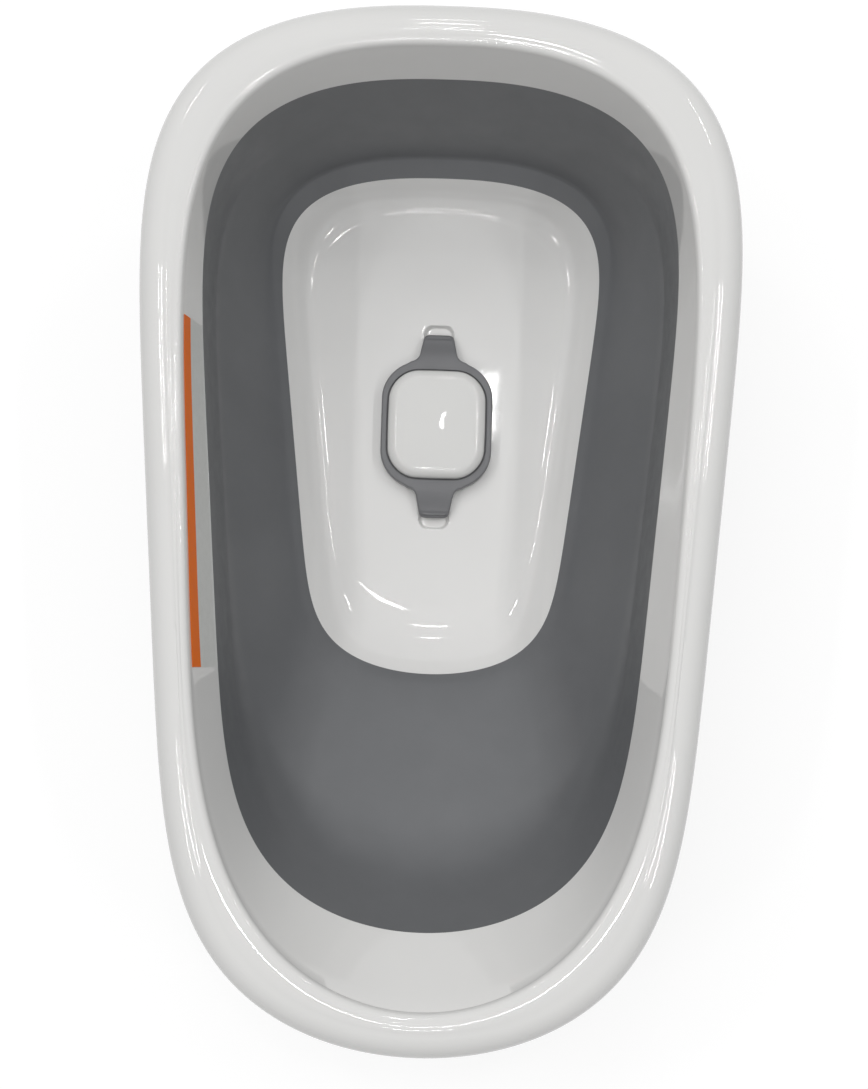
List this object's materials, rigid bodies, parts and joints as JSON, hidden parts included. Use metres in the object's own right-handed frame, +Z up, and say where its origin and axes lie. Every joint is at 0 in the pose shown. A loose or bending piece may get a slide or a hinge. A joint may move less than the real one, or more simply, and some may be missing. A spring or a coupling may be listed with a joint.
{
  "type": "baby bathtub",
  "caption": "Folding baby bathtub: white rim and base joined by a soft grey wall that turns inside out to fold flat, with a lift-out drain plug.",
  "frame": {"origin": "on the floor under the middle of the rim's bounding box", "axes": "+Z up, +Y to the foot end (the head end, with the recline slope, is at -Y), +X to the right when seen from above with the foot end up"},
  "size_m": [0.4739, 0.82, 0.25],
  "materials": {
    "rigid_white": "glossy moulded polypropylene",
    "soft_grey": "satin thermoplastic rubber",
    "plug_grey": "satin thermoplastic rubber",
    "pad_grey": "matt non-slip rubber",
    "screw_steel": "plain stainless steel",
    "strip_film": "plain adhesive film, orange along its top edge, with nothing printed on it"
  },
  "bodies": {
    "base": {"base_pan": "rigid_white", "wall_lower": "soft_grey", "foot_pad_foot_left": "pad_grey", "foot_pad_foot_right": "pad_grey", "foot_pad_head_left": "pad_grey", "foot_pad_head_right": "pad_grey"},
    "rim": {"rim": "rigid_white", "wall_upper": "soft_grey", "label_strip": "strip_film"},
    "plug": {"plug_cap": "rigid_white", "plug_seal": "plug_grey", "plug_core": "rigid_white", "plug_screws": "screw_steel"}
  },
  "joints": [
    {"name": "collapse", "type": "slide", "parent": "base", "child": "rim", "axis": [0, 0, -1], "range_m": [0, 0.136], "deforming": ["wall_upper"]},
    {"name": "plug_lift", "type": "slide", "parent": "base", "child": "plug", "axis": [0, 0, 1], "range_m": [0, 0.26]}
  ]
}
